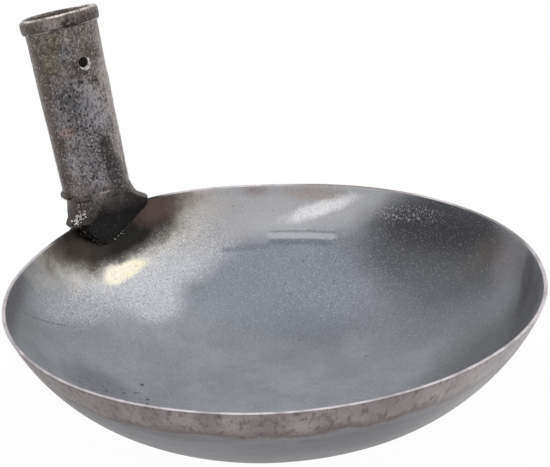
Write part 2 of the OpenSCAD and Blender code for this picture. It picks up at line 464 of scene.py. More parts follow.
def mark_on_bowl(tree, place, colour, mark):
    """The colour socket with one mark of a table laid over it, and the mark's mask."""
    turn, reach, length, width, lean, softness, ragged, grain, tint, share = mark
    if turn in POINTS:
        middle, normal = place_on(bowl_tree, *POINTS[turn])
    else:
        above = polar(reach * MM, math.radians(turn), 2 * rim_z)
        middle, normal = bowl_tree.ray_cast(above, Vector((0, 0, -1)))[:2]
    round_bowl = Vector((0, 0, 1)).cross(Vector((middle.x, middle.y, 0))).normalized()
    leant = Matrix.Rotation(math.radians(lean), 3, normal)
    up_wall = normal.cross(round_bowl).normalized()
    mask = use_group(tree, patch_group, Position=place, Centre=middle,
                     Along=leant @ round_bowl / (length * MM / 2),
                     Across=leant @ up_wall / (width * MM / 2),
                     Softness=softness, Ragged=ragged, Grain=grain, **{"Grain at": place})["Mask"]
    return laid_over(tree, colour, mask, share, paint(*tint)), mask


# Marks on the inner face, laid one over the other: scorch, stains, and painted reflections and shade.
# Each row starts with the mark's place: degrees round from the handle and mm from the axis, or the
# name of an image point and None. Then its length round the bowl and its width up the wall in mm, its
# lean in degrees, its softness, raggedness, grain, colour and share. `masks` keeps each mask under its
# place.
MARKS = [
    # painted reflections and shade in the next ten rows: a cooler middle, a pale band at the back, and the
    # dark wall on the right with the patches round it
    (-62, 108, 200, 92, 11, 0.6, 0.3, 14, (98, 103, 113), 0.75),
    (-45, 151, 170, 34, 0, 0.5, 0.5, 35, (184, 184, 188), 0.85),
    (-91, 144, 108, 84, 10, 0.3, 0.4, 25, (72, 73, 78), 0.97),
    ("dark_wall", None, 84, 24, 5, 0.6, 0.5, 40, (52, 51, 55), 0.8),
    (-98, 118, 110, 60, 20, 0.7, 0.5, 25, (112, 114, 120), 0.6),
    (-115, 152, 30, 30, 63, 0.6, 0.6, 60, (128, 124, 126), 0.8),
    (-106, 150, 34, 20, 57, 0.7, 0.6, 60, (98, 90, 82), 0.5),
    (-127, 153, 44, 14, -39, 0.5, 0.6, 60, (62, 61, 66), 0.6),
    (-139, 148, 90, 40, -17, 0.6, 0.4, 35, (70, 69, 73), 0.75),
    (-136, 118, 60, 50, 80, 0.6, 0.4, 35, (86, 86, 90), 0.6),
    # painted reflection in the next four rows: pale steel to the left of the handle
    (-8, 137, 104, 44, 3, 0.4, 0.7, 45, (188, 190, 196), 0.9),
    (0, 120, 42, 34, -20, 0.4, 0.8, 45, (186, 188, 194), 0.85),
    (-26, 148, 62, 36, 15, 0.5, 0.8, 50, (172, 169, 170), 0.7),
    (21, 134, 74, 24, -18, 0.6, 0.6, 40, (168, 170, 178), 0.7),
    (51, 156, 124, 20, -3, 0.6, 0.4, 30, (88, 87, 90), 0.8),
    ("back_glare", None, 44, 9, 20, 0.5, 1.0, 110, (244, 244, 246), 0.85),
    (-39, 157, 16, 9, -5, 0.7, 1.0, 90, (134, 118, 114), 0.6),
    (-53, 156, 42, 9, -1, 0.6, 1.0, 90, (160, 145, 138), 0.6),
    (-24, 157, 26, 12, 4, 0.7, 1.0, 90, (186, 172, 170), 0.6),
    (51, 107, 44, 34, 74, 0.6, 0.7, 60, (112, 112, 120), 0.6),
    (1, 154, 146, 72, 0, 0.3, 0.9, 70, (206, 199, 186), 0.5),
    (1, 155.5, 128, 58, 0, 0.25, 0.8, 60, (98, 87, 78), 0.8),
    ("scorch", None, 104, 46, 3, 0.3, 0.5, 60, (24, 23, 21), 1.0),
    (-14, 155, 34, 20, 6, 0.6, 1.2, 90, (84, 70, 66), 0.85),
    (12, 151, 40, 18, -20, 0.6, 1.4, 90, (62, 53, 47), 0.5),
    # painted highlight below the handle, in two rows
    ("below_handle_highlight", None, 36, 10, 3, 0.3, 0.7, 90, (236, 230, 206), 0.92),
    (5, 137.5, 14, 12, 0, 0.4, 0.8, 90, (232, 226, 206), 0.8),
    (40.4, 83.7, 2.6, 2.6, 0, 0.4, 0.4, 300, (40, 40, 44), 0.9),
]
steel_dark = paint(52, 52, 56)
steel_light = paint(236, 237, 240)

inside_steel, tree, shader, place = new_steel("bowl_inside_steel", 0.55, 0.42)
tone = use_group(tree, cloud_group, Position=place, Scale=26.0, Detail=8.0, Roughness=0.65,
                 Low=0.36, High=0.66)["Mask"]
colour = mixed(tree, tone, paint(136, 139, 144), paint(152, 156, 162))
masks = {}
for mark in MARKS:
    colour, masks[mark[:2]] = mark_on_bowl(tree, place, colour, mark)
# the masks of the painted reflections left of the handle and of the painted highlight at the back
painted_light = masks[-8, 137]
for name in ((0, 120), (21, 134), ("back_glare", None)):
    painted_light = math_of(tree, "MAXIMUM", painted_light, masks[name])
burnt = masks["scorch", None]
# Painted reflections: thin light and dark lines round the back wall. Each row gives the distance
# from the axis, width, turn, half turn and raggedness, in mm and degrees, then colour and share.
LINES = [
    (140.6, 3.2, -50.5, 10.5, 2.5, (182, 186, 192), 0.65),
    (142.4, 1.2, -51, 10, 1.5, (112, 116, 124), 0.6),
    (137.6, 3.2, -50, 10, 2.5, (100, 106, 116), 0.8),
    (135.6, 3.0, -38.5, 3.5, 2.5, (108, 114, 124), 0.75),
    (135.3, 2.6, -31.5, 4, 2.5, (112, 118, 128), 0.7),
]
for line_reach, width, turn, half_turn, ragged, tint, share in LINES:
    line = use_group(tree, ring_group, Position=place, Reach=line_reach * MM, Width=width * MM,
                     Turn=math.radians(turn), Ragged=ragged * MM,
                     **{"Half turn": math.radians(half_turn)})["Mask"]
    colour = laid_over(tree, colour, line, share, paint(*tint))
# bright grains where the back wall was ground, over its painted shade, pits at the front left, one long
# scratch
black = (0, 0, 0)
ground = mark_on_bowl(tree, place, colour, ("speck_chain", None, 48, 11, 8, 0.4, 0.8, 60, black, 1))[1]
grains = use_group(tree, pit_group, Position=place, Scale=420.0, Share=0.38, Size=0.38)["Mask"]
grains = math_of(tree, "MULTIPLY", ground, grains)
colour = laid_over(tree, colour, grains, 0.75, paint(168, 170, 174))
eaten = mark_on_bowl(tree, place, colour, (54.5, 92, 20, 60, 0, 0.5, 0.6, 60, black, 1))[1]
holes = use_group(tree, pit_group, Position=place, Scale=215.0, Share=0.75, Size=0.36)["Mask"]
eaten = math_of(tree, "MULTIPLY", eaten, holes)
colour = laid_over(tree, colour, eaten, 0.9, paint(38, 38, 42))
scratch = ("long_scratch", None, 38, 1.0, -44, 0.5, 0.6, 400, (92, 92, 96), 0.7)
colour = mark_on_bowl(tree, place, colour, scratch)[0]
# flecks and fine pits everywhere: fewest on scorch and painted highlight, most on painted light and grains
flecks = use_group(tree, fleck_group, Position=place, Scale=900.0)
highlight_clear = math_of(tree, "MULTIPLY_ADD", masks["below_handle_highlight", None], -0.6, 1.0)
clear = math_of(tree, "MULTIPLY", rest_of(tree, burnt), highlight_clear)
tree.links.new(math_of(tree, "MULTIPLY_ADD", burnt, 0.3, 0.55), shader.inputs["Metallic"])
lively = math_of(tree, "MAXIMUM", painted_light, ground)
fleck_share = math_of(tree, "MULTIPLY", clear, math_of(tree, "MULTIPLY_ADD", lively, 0.6, 0.22))
colour = laid_over(tree, colour, flecks["Light"], fleck_share, steel_light)
dark_share = math_of(tree, "MULTIPLY", fleck_share, 0.9)
colour = laid_over(tree, colour, flecks["Dark"], dark_share, steel_dark)
pits = use_group(tree, pit_group, Position=place, Scale=400.0, Share=0.1, Size=0.24)["Mask"]
colour = laid_over(tree, colour, pits, 0.5, steel_dark)
tree.links.new(colour, shader.inputs["Base Color"])
hollows = math_of(tree, "MAXIMUM", pits, eaten)
height = math_of(tree, "SUBTRACT", math_of(tree, "MULTIPLY", flecks["Dark"], -0.6), hollows)
bumped(tree, shader, height, 0.12 * MM, 0.7)

# Outside, the upper 20 mm kept its brown scale, streaked down the wall, with a dark and
# uneven lower border. Below it the steel is rubbed smooth.
OUTSIDE_LIGHT_AND_SHADE = [
    # painted shade on one side of the outer wall (first row) and painted light on the other (second row)
    (84, 150, 150, 90, 0, 0.7, 0.3, 30, (70, 64, 66), 0.28),
    (-165, 150, 110, 90, 0, 0.7, 0.3, 30, (214, 210, 212), 0.3),
]
outside_steel, tree, shader, place = new_steel("bowl_outside_steel", 0.5, 0.45)
down = vector_of(tree, "MULTIPLY", place, (1.0, 1.0, 0.1))[0]
round_it = vector_of(tree, "MULTIPLY", place, (0.12, 0.12, 1.0))[0]
height = add_node(tree, "ShaderNodeSeparateXYZ", {0: place}).outputs[2]
wave = use_group(tree, cloud_group, Position=place, Scale=38.0, Detail=5.0)["Noise"]
level = math_of(tree, "MULTIPLY_ADD", math_of(tree, "SUBTRACT", wave, 0.5), 14 * MM, height)
scaled = eased(tree, level, rim_z - 22 * MM, rim_z - 18.5 * MM)
border_end = rest_of(tree, eased(tree, level, rim_z - 20 * MM, rim_z - 13 * MM))
border = math_of(tree, "MULTIPLY", scaled, border_end)
smooth = use_group(tree, cloud_group, Position=round_it, Scale=110.0, Detail=4.0, Low=0.35,
                   High=0.7)["Mask"]
rubbed = mixed(tree, smooth, paint(116, 114, 118), paint(134, 133, 138))
mottle = use_group(tree, cloud_group, Position=place, Scale=60.0, Low=0.35, High=0.7)["Mask"]
brown = mixed(tree, mottle, paint(134, 124, 124), paint(160, 150, 150))
streak = use_group(tree, cloud_group, Position=down, Scale=300.0, Detail=5.0, Roughness=0.6, Low=0.5,
                   High=0.64)["Mask"]
brown = laid_over(tree, brown, streak, 0.75, paint(98, 86, 84))
brown = laid_over(tree, brown, border, 0.75, paint(84, 70, 66))
colour = mixed(tree, scaled, rubbed, brown)
for mark in OUTSIDE_LIGHT_AND_SHADE:
    colour = mark_on_bowl(tree, place, colour, mark)[0]
flecks = use_group(tree, fleck_group, Position=place, Scale=900.0)
colour = laid_over(tree, colour, flecks["Dark"], 0.45, steel_dark)
tree.links.new(colour, shader.inputs["Base Color"])
bumped(tree, shader, math_of(tree, "SUBTRACT", scaled, streak), 0.08 * MM, 0.6)

# The ground edge of the rim is bare, but for the weld's scorch and two brown lengths.
EDGE_MARKS = [
    (0, 158, 104, 40, 0, 0.25, 0.4, 60, (40, 37, 35), 1.0),
    (-62, 158.5, 120, 12, 0, 0.6, 0.6, 60, (128, 114, 110), 0.8),
    (-106, 158.5, 90, 12, 0, 0.4, 0.6, 60, (120, 113, 114), 0.75),
]
edge_steel, tree, shader, place = new_steel("rim_edge_steel", 0.7, 0.5)
tone = use_group(tree, cloud_group, Position=place, Scale=60.0, Low=0.35, High=0.6)["Mask"]
colour = mixed(tree, tone, paint(166, 160, 164), paint(204, 198, 202))
for mark in EDGE_MARKS:
    colour = mark_on_bowl(tree, place, colour, mark)[0]
tree.links.new(colour, shader.inputs["Base Color"])

for material in (outside_steel, edge_steel, inside_steel):
    bowl_mesh.materials.append(material)
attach(bowl, "root")
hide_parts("bowl")

# ---- Foot --------------------------------------------------------------------------
# The tube's lower end, spread and hammered thin by the smith so that it straddles the
# rim with a lobe on each face of the wall. Black forge scale covers it.
foot_voxel = 0.6 * MM
socket_lean = math.radians(11.5)
foot_top = 18 * MM
to_part = Matrix.Translation((rim_r, 0, rim_z)) @ Matrix.Rotation(socket_lean, 4, "Y")
to_socket = to_part.inverted()


def welded_copy(name, node):
    """A copy of a CAD node's mesh with its loose triangles joined."""
    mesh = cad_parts[node].data.copy()
    mesh.name = name
    mesh.materials.clear()
    made = new_object(name, mesh)
    weld = made.modifiers.new("weld", "WELD")
    weld.merge_threshold = 0.002 * MM
    return made


def as_mesh(thing):
    """The object's mesh with its modifiers applied and removed."""
    graph = bpy.context.evaluated_depsgraph_get()
    thing.data = bpy.data.meshes.new_from_object(thing.evaluated_get(graph))
    thing.modifiers.clear()
    thing.data.shade_smooth()
    return thing


def remeshed(name, node, voxel, rounds, rounding):
    """A CAD node as one even skin with soft edges."""
    made = welded_copy(name, node)
    even = made.modifiers.new("even skin", "REMESH")
    even.mode = "VOXEL"
    even.voxel_size = voxel
    soft = made.modifiers.new("soft edges", "SMOOTH")
    soft.factor = rounding
    soft.iterations = rounds
    return as_mesh(made)


def shaped(thing, move):
    """Moves each vertex along its normal by a rule of its place."""
    steps = [(v, v.normal * move(v.co)) for v in thing.data.vertices]
    for vertex, step in steps:
        vertex.co += step


foot = remeshed("handle_foot_forged", "handle_foot", foot_voxel, 4, 0.6)


def eased_number(value, low, high):
    """0 at low, 1 at high, and a smooth slope between."""
    share = min(1.0, max(0.0, (value - low) / (high - low)))
    return share * share * (3 - 2 * share)


def waves_of(place, layers):
    """The sum of layers of waves, each with its depth and its number to the metre."""
    return sum(depth * noise.noise(place * waves) for depth, waves in layers)


HAMMER_BLOWS = ((0.45 * MM, 110), (0.18 * MM, 420))
blows_end = (foot_top - 7 * MM, foot_top - 2 * MM)


def hammered(place):
    """Broad hammer blows with a fine scale on them, none where the tube begins."""
    return waves_of(place, HAMMER_BLOWS) * (1 - eased_number((to_socket @ place).z, *blows_end))


shaped(foot, hammered)
lobe_low = rim_z - 12 * MM
straddle_w = 28 * MM
lobe_round = (straddle_w ** 2 + (rim_z - lobe_low) ** 2) / (2 * (rim_z - lobe_low))
weld_out = 1.2 * MM
# the inner weld's lowest place, and how far it reaches aside from there on each hand
inner_drop = 15.6 * MM
inner_low_y = 6 * MM
inner_half_near = 40 * MM
inner_half_far = 20 * MM
stretch_least, stretch_most = 0.5, 1.6
first_drop_least = 1.5 * MM
# Shares of its width by which the foot is wider on its -Y side and narrower on the other,
# the heights between which each comes and goes, and how far aside it is in full.
web_share, inner_web_share = 0.34, 0.05
web_comes, web_goes = (-4 * MM, 10 * MM), (4 * MM, 16 * MM)
web_full_y = 10 * MM
neck_share, inner_neck_share = -0.2, -0.15
neck_comes, neck_goes = (-3 * MM, 6 * MM), (12 * MM, 21 * MM)
neck_full_y = 17 * MM
inner_lobe_goes = (-2 * MM, 4 * MM)
# its top, tucked under the joint's bead and drawn up the tube
top_tuck, top_tuck_from = 0.04, foot_top - 1.5 * MM
top_raise, top_raise_from = 4 * MM, 11 * MM
above_rim = 10 * MM  # from here up the foot doesn't follow the bowl's own unevenness


def inner_weld_drop(y):
    """How far below the rim the weld runs on the inner face. Its lowest place is off centre."""
    half = inner_half_near if y < inner_low_y else inner_half_far
    share = (y - inner_low_y) / half
    return inner_drop * (1 - share * share) ** 1.5 if abs(share) < 1 else 0.0


def forged(place):
    """The foot as the smith left it: spread wide on its -Y side, drawn in on the other,
    hammered down the inner wall, and feathered out over the tube at its top."""
    p = to_socket @ place
    inner = p.x < 0
    lobe = 1 - eased_number(p.z, *inner_lobe_goes)
    if p.y < 0:
        wide = web_share * (1 - eased_number(p.z, *web_goes))
        wide *= eased_number(p.z, *web_comes)
        wide += inner_web_share * lobe if inner else 0
        grip = min(1.0, -p.y / web_full_y)
    else:
        wide = neck_share * eased_number(p.z, *neck_comes)
        wide *= 1 - eased_number(p.z, *neck_goes)
        if inner:
            wide = min(wide, inner_neck_share * lobe)
        grip = min(1.0, (p.y / neck_full_y) ** 2)
    p.y *= 1 + wide * grip
    under = 1 - top_tuck * eased_number(p.z, top_tuck_from, foot_top)
    height = p.z
    raised = p.z + top_raise * eased_number(p.z, top_raise_from, foot_top)
    p = Vector((p.x * under, p.y * under, raised))
    place = to_part @ p
    reach = math.hypot(place.x, place.y)
    slope = math.atan2(reach - flat_r, side_radius - place.z)
    drop = rim_z - side_radius + (side_radius - sheet_t) * math.cos(slope)
    if inner and drop > 0 and reach < rim_r:
        first_drop = lobe_low - rim_z + lobe_round
        first_drop = math.sqrt(max(0.0, lobe_round ** 2 - (place.y / (1 + wide)) ** 2)) - first_drop
        wanted = max(0.0, inner_weld_drop(place.y) - weld_out)
        stretch = wanted / max(first_drop, first_drop_least)
        drop *= min(stretch_most, max(stretch_least, stretch))
        off_centre = math.hypot(reach - flat_r, side_radius - place.z)
        slope = math.acos(min(1.0, (side_radius - rim_z + drop) / (side_radius - sheet_t)))
        scale = (flat_r + off_centre * math.sin(slope)) / reach
        place = Vector((place.x * scale, place.y * scale, side_radius - off_centre * math.cos(slope)))
    return place.lerp(worked(place), 1 - eased_number(height, 0, above_rim))


for vertex in foot.data.vertices:
    vertex.co = forged(vertex.co)

# The handle's own coordinates, in metres: round it, 0 on the side that faces the camera, and
# up it from the rim.
face_degrees = 138
face_turn = math.radians(face_degrees)
round_r = 22.5 * MM
tree, given, given_back = new_group(
    "Round and up the handle", [("Position", "Vector", None)], [("Round", "Float"), ("Up", "Float")])
unrolled = tree
turned_frame = Matrix.Rotation(socket_lean, 3, "Y") @ Matrix.Rotation(face_turn, 3, "Z")
stood = add_node(tree, "ShaderNodeMapping",
                 {"Vector": given["Position"], "Location": (rim_r, 0, rim_z),
                  "Rotation": turned_frame.to_euler("XYZ")}, vector_type="TEXTURE")
axes = add_node(tree, "ShaderNodeSeparateXYZ", {0: stood.outputs[0]}).outputs
turned = math_of(tree, "ARCTAN2", axes[1], axes[0])
tree.links.new(math_of(tree, "MULTIPLY", turned, round_r), given_back["Round"])
tree.links.new(axes[2], given_back["Up"])


def handle_place(tree, place):
    """Position round and up the handle, as one vector, and the height by itself."""
    flat = use_group(tree, unrolled, Position=place)
    return add_node(tree, "ShaderNodeCombineXYZ", {0: flat["Round"], 1: flat["Up"]}).outputs[0], flat["Up"]


def mark_on_handle(tree, flat, place, mark):
    """The mask of one mark of a table, without its colour and share."""
    turn, s, length, width, lean, softness, ragged, grain = mark
    lean = math.radians(lean)
    around = Vector((math.cos(lean), math.sin(lean), 0))
    up = Vector((-math.sin(lean), math.cos(lean), 0))
    centre = (math.radians(turn - face_degrees) * round_r, s * MM, 0)
    return use_group(tree, patch_group, Position=flat, Centre=centre, Along=up / (length * MM / 2),
                     Across=around / (width * MM / 2), Softness=softness, Ragged=ragged, Grain=grain,
                     **{"Grain at": place})["Mask"]


# Marks on the handle: degrees round from the side away from the bowl, mm above the rim, then
# length up the handle and width in mm, lean, softness, raggedness, grain, colour and share.
HANDLE_MARKS = [
    # painted reflection: a light band down the tube's left side
    (62, 78, 120, 14, 0, 0.5, 0.5, 60, (134, 128, 124), 0.6),
    (92, 78, 100, 13, 0, 0.5, 0.9, 90, (82, 69, 63), 0.85),
    (90, 38, 44, 18, 0, 0.5, 0.8, 90, (74, 66, 60), 0.85),
    # painted reflection: a light band down the tube's right side
    (220, 85, 70, 18, 0, 0.5, 0.6, 60, (176, 168, 164), 0.8),
    (150, 70, 42, 34, 8, 0.4, 0.7, 70, (156, 154, 160), 0.9),
    (141, 40, 32, 29, 0, 0.35, 0.7, 80, (162, 157, 163), 0.95),
    (118, 26, 12, 20, 0, 0.5, 0.6, 60, (134, 124, 126), 0.9),
    (120, 63, 7, 14, 10, 0.4, 0.8, 120, (158, 134, 131), 0.85),
    (128, 119, 17, 7, 0, 0.6, 1.0, 150, (112, 106, 82), 0.7),
    (114, 107, 10, 9, 0, 0.6, 1.0, 150, (106, 99, 72), 0.7),
    (115, 101, 3, 7, 0, 0.5, 0.8, 200, (76, 66, 46), 0.8),
    (190, 108, 8, 16, -20, 0.5, 0.8, 120, (76, 66, 62), 0.85),
    (154, 104, 7, 9, 0, 0.6, 0.8, 120, (82, 74, 72), 0.8),
    (161, 98, 5, 20, 10, 0.5, 0.9, 120, (78, 69, 65), 0.85),
    (187, 101, 8, 8, 0, 0.5, 0.8, 120, (96, 92, 98), 0.6),
    (158, 92.7, 3.6, 4, -30, 0.3, 0.8, 300, (48, 40, 40), 0.9),
    (184, 92, 5, 5, 0, 0.3, 1.2, 300, (60, 52, 50), 0.8),
    (150, 122, 11, 2.6, -5, 0.5, 0.9, 250, (196, 186, 180), 0.6),
    (143, 112, 7, 8, 0, 0.5, 1.0, 200, (130, 134, 138), 0.6),
    (176, 47, 25, 10, 3, 0.35, 0.7, 110, (56, 50, 46), 0.95),
    (187, 32, 22, 15, 10, 0.4, 0.6, 90, (50, 50, 53), 0.95),
    # painted reflection: the right side's light band, lower down
    (216, 48, 24, 16, 0, 0.4, 0.7, 100, (164, 155, 153), 0.85),
    (200, 60, 10, 3, 0, 0.4, 0.8, 200, (78, 74, 74), 0.8),
    (86, 30, 13, 12, 0, 0.4, 1.0, 200, (58, 46, 40), 0.85),
    (132, 79, 26, 17, 6, 0.5, 2.4, 330, (38, 39, 46), 0.65),
    (150, 50, 34, 22, 6, 0.5, 2.0, 420, (72, 66, 66), 0.35),
    # the nail hole's bare drilled edge, lightened with a painted highlight
    (171.5, 103.2, 7.9, 7.9, 0, 0.12, 0.1, 300, (214, 209, 206), 1.0),
]
# marks that lie over the weld's blackening: red-brown painted shade on the foot's left face, painted light
# on its right
SCORCH_SIDE_LIGHT_AND_SHADE = [
    (95, 10, 22, 18, 0, 0.5, 0.9, 100, (62, 50, 46), 0.75),
    (175, 12, 12, 18, 0, 0.5, 0.9, 100, (92, 86, 79), 0.5),
]
# pitted areas: place as above, then the pits' scale, share and size
HANDLE_PITS = [
    (134, 77, 30, 20, 0, 0.4, 0.6, 100, 430, 0.75, 0.5),
    (150, 57, 30, 27, 0, 0.5, 0.6, 100, 560, 0.75, 0.48),
    (152, 36, 20, 24, 0, 0.5, 0.6, 100, 720, 0.8, 0.48),
    (156, 92, 18, 22, 0, 0.6, 0.6, 100, 560, 0.4, 0.46),
    (140, 112, 16, 16, 0, 0.6, 0.6, 100, 700, 0.6, 0.46),
]


def handle_marks(tree, flat, place, colour, marks):
    """The colour socket with each mark of a table laid over it."""
    for *mark, tint, share in marks:
        mask = mark_on_handle(tree, flat, place, mark)
        colour = laid_over(tree, colour, mask, share, paint(*tint))
    return colour


tree, given, given_back = new_group(
    "Handle steel", [("Position", "Vector", None)], [("Colour", "Color"), ("Height", "Float")])
handle_group = tree
place = given["Position"]
flat, up_handle = handle_place(tree, place)
along_it = vector_of(tree, "MULTIPLY", place, (1.0, 1.0, 0.75))[0]
stain = use_group(tree, cloud_group, Position=place, Scale=60.0, Low=0.35, High=0.65)["Mask"]
colour = mixed(tree, stain, paint(104, 96, 93), paint(130, 122, 119))
colour = handle_marks(tree, flat, place, colour, HANDLE_MARKS)
mottle = use_group(tree, cloud_group, Position=along_it, Scale=360.0, Detail=5.0, Roughness=0.75,
                   Low=0.47, High=0.6)["Mask"]
colour = laid_over(tree, colour, mottle, 0.66, paint(60, 52, 49))
grain = use_group(tree, fleck_group, Position=along_it, Scale=760.0)
colour = laid_over(tree, colour, grain["Light"], 0.85, paint(200, 192, 188))
colour = laid_over(tree, colour, grain["Dark"], 0.8, paint(40, 34, 34))
pits = 0.0
for *mark, pit_scale, pit_share, pit_size in HANDLE_PITS:
    mask = mark_on_handle(tree, flat, place, mark)
    holes = use_group(tree, pit_group, Position=place, Scale=float(pit_scale), Share=pit_share,
                      Size=pit_size)["Mask"]
    pits = math_of(tree, "MAXIMUM", pits, math_of(tree, "MULTIPLY", mask, holes))
colour = laid_over(tree, colour, pits, 0.92, paint(30, 30, 36))
# towards the rim the weld's heat has blackened it
uneven = math_of(tree, "MULTIPLY_ADD", math_of(tree, "SUBTRACT", stain, 0.5), 5 * MM, up_handle)
scorched = rest_of(tree, eased(tree, uneven, 2 * MM, 27 * MM))
colour = laid_over(tree, colour, scorched, 0.95, paint(27, 25, 23))
colour = laid_over(tree, colour, grain["Light"], 0.3, paint(140, 132, 126))
colour = handle_marks(tree, flat, place, colour, SCORCH_SIDE_LIGHT_AND_SHADE)
tree.links.new(colour, given_back["Colour"])
relief = math_of(tree, "SUBTRACT", math_of(tree, "MULTIPLY", grain["Dark"], -0.6), pits)
tree.links.new(relief, given_back["Height"])


def handle_steel(name, metallic, roughness):
    """The handle's mottled steel."""
    material, tree, shader, place = new_steel(name, metallic, roughness)
    surface = use_group(tree, handle_group, Position=place)
    tree.links.new(surface["Colour"], shader.inputs["Base Color"])
    bumped(tree, shader, surface["Height"], 0.18 * MM)
    return material


def forge_scale(name, dark, brown, bright, metallic, roughness):
    """Scale on hot-worked steel: dark, brown in places and rubbed bright in a few."""
    material, tree, shader, place = new_steel(name, metallic, roughness)
    stain = use_group(tree, cloud_group, Position=place, Scale=90.0, Low=0.42, High=0.62)["Mask"]
    colour = mixed(tree, stain, dark, brown)
    rubbed = use_group(tree, cloud_group, Position=place, Scale=330.0, Detail=4.0, Low=0.6,
                       High=0.72)["Mask"]
    colour = laid_over(tree, colour, rubbed, 0.6, bright)
    tree.links.new(colour, shader.inputs["Base Color"])
    grain = use_group(tree, cloud_group, Position=place, Scale=500.0, Detail=5.0)["Noise"]
    bumped(tree, shader, grain, 0.25 * MM)
    return material


foot.data.materials.append(handle_steel("foot_scale", 0.55, 0.5))
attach(foot, "root")
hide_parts("handle_foot")

# ---- Tube --------------------------------------------------------------------------
# The socket for a wooden grip: steel plate rolled to a slightly tapered tube, with a
# drilled nail hole through the side that looks in over the bowl.
foot_r = 21.6 * MM
mouth_r = 23.3 * MM
socket_wall = 2.4 * MM
socket_l = 134.5 * MM
grip_bore_l = 26 * MM
nail_r = 3.25 * MM
nail_s = socket_l - 30.3 * MM
nail_turn = math.pi - math.radians(11)
TUBE_AROUND = 120
TUBE_ROWS = 100
HOLE_CELLS = 10
HOLE_RINGS = (1.5, 1.2, 1.06)
nail_bevel = 0.35 * MM
tuck_l = 5 * MM
tuck_in = 1.3 * MM
tuck_down = 1.5 * MM
ROLLED_WAVES = ((0.3 * MM, 45), (0.12 * MM, 160))
bore_waves_share = 0.4
even_foot_l = 4 * MM
even_mouth_l = 6 * MM


def tube_r(s):
    """Outside radius of the tube at a height above the rim's plane."""
    return foot_r + (mouth_r - foot_r) * (s - foot_top) / (socket_l - foot_top)


def bore_r(s):
    """Inside radius of the tube."""
    taper_l = socket_l - grip_bore_l - foot_top
    return foot_r - socket_wall + (mouth_r - foot_r) * min(1.0, (s - foot_top) / taper_l)


def tube_skin(turn, s, inner):
    """A place on the tube's outer or inner face, a little uneven from rolling and hammer,
    its lowest length tucked in to the foot."""
    tucked = max(0.0, 1 - (s - foot_top) / tuck_l)
    radius = bore_r(s) if inner else tube_r(s) - tuck_in * tucked
    s -= tuck_down * tucked
    place = polar(radius, turn, s)
    uneven = waves_of(place, ROLLED_WAVES)
    keep = min(1.0, (s - foot_top) / even_foot_l, (socket_l - s) / even_mouth_l)
    place += polar(1, turn, 0) * uneven * max(0.0, keep) * (bore_waves_share if inner else 1.0)
    return place


places = []
faces = []
row_step = (socket_l - foot_top) / TUBE_ROWS
hole_row = round((nail_s - foot_top) / row_step)
half_cells = HOLE_CELLS // 2


def tube_place(column, row, inner):
    """The grid's place. Its rows are shared out so that one runs through the nail hole's middle."""
    if row <= hole_row:
        s = foot_top + row * ((nail_s - foot_top) / hole_row)
    else:
        s = nail_s + (row - hole_row) * (socket_l - nail_s) / (TUBE_ROWS - hole_row)
    return tube_skin(nail_turn + 2 * math.pi * column / TUBE_AROUND, s, inner)


def index_of(column, row, inner):
    """The number of the grid's place in the list of places."""
    return (inner * (TUBE_ROWS + 1) + row) * TUBE_AROUND + column % TUBE_AROUND


for inner in (0, 1):
    for row in range(TUBE_ROWS + 1):
        for column in range(TUBE_AROUND):
            places.append(tube_place(column, row, inner))
for inner in (0, 1):
    for row in range(TUBE_ROWS):
        for column in range(TUBE_AROUND):
            from_hole = (column + TUBE_AROUND // 2) % TUBE_AROUND - TUBE_AROUND // 2
            if -half_cells <= from_hole < half_cells and -half_cells <= row - hole_row < half_cells:
                continue
            corners = [index_of(column, row, inner), index_of(column + 1, row, inner),
                       index_of(column + 1, row + 1, inner), index_of(column, row + 1, inner)]
            faces.append(corners[::-1] if inner else corners)
for row in (0, TUBE_ROWS):
    for column in range(TUBE_AROUND):
        corners = [index_of(column, row, 0), index_of(column, row, 1),
                   index_of(column + 1, row, 1), index_of(column + 1, row, 0)]
        faces.append(corners if row == 0 else corners[::-1])

# the nail hole: rings from the square gap in the grid to a round edge, and through
square = ([(c, -half_cells) for c in range(-half_cells, half_cells)] +
          [(half_cells, r) for r in range(-half_cells, half_cells)] +
          [(c, half_cells) for c in range(half_cells, -half_cells, -1)] +
          [(-half_cells, r) for r in range(half_cells, -half_cells, -1)])
hole_axis = polar(1, nail_turn, 0)
hole_side = Vector((0, 0, 1)).cross(hole_axis)


def hole_ring(radius, inner, sunk):
    """Places round the nail hole on one face of the tube, each in line with its corner."""
    ring = []
    for c, r in square:
        corner = tube_place(c, hole_row + r, 0)
        spoke = math.atan2(corner.z - nail_s, (corner - hole_axis * corner.dot(hole_axis)).dot(hole_side))
        aside, rise = radius * math.cos(spoke), radius * math.sin(spoke)
        turn = nail_turn + math.asin(aside / (bore_r(nail_s) if inner else tube_r(nail_s)))
        ring.append(tube_skin(turn, nail_s + rise, inner) - hole_axis * sunk)
    return ring


hole_rings = [[index_of(c, hole_row + r, 0) for c, r in square]]
sunk_rings = [(nail_r * share, 0, 0) for share in HOLE_RINGS]
sunk_rings += [(nail_r + 0.3 * nail_bevel, 0, 0.3 * nail_bevel), (nail_r, 0, nail_bevel)]
sunk_rings += [(nail_r, 1, -nail_bevel)] + [(nail_r * share, 1, 0) for share in HOLE_RINGS[::-1]]
for radius, inner, sunk in sunk_rings:
    hole_rings.append(range(len(places), len(places) + len(square)))
    places += hole_ring(radius, inner, sunk)
hole_rings.append([index_of(c, hole_row + r, 1) for c, r in square])
for ring, following in zip(hole_rings, hole_rings[1:]):
    for k in range(len(square)):
        after = (k + 1) % len(square)
        faces.append((ring[k], ring[after], following[after], following[k]))

tube_mesh = new_mesh("socket_tube_rolled", [to_part @ p for p in places], faces)
tube_mesh.validate()
tube_mesh.shade_smooth()
tube = new_object("socket_tube_rolled", tube_mesh)
tube_mesh.materials.append(handle_steel("tube_steel", 0.6, 0.45))
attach(tube, "root")
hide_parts("socket_tube")

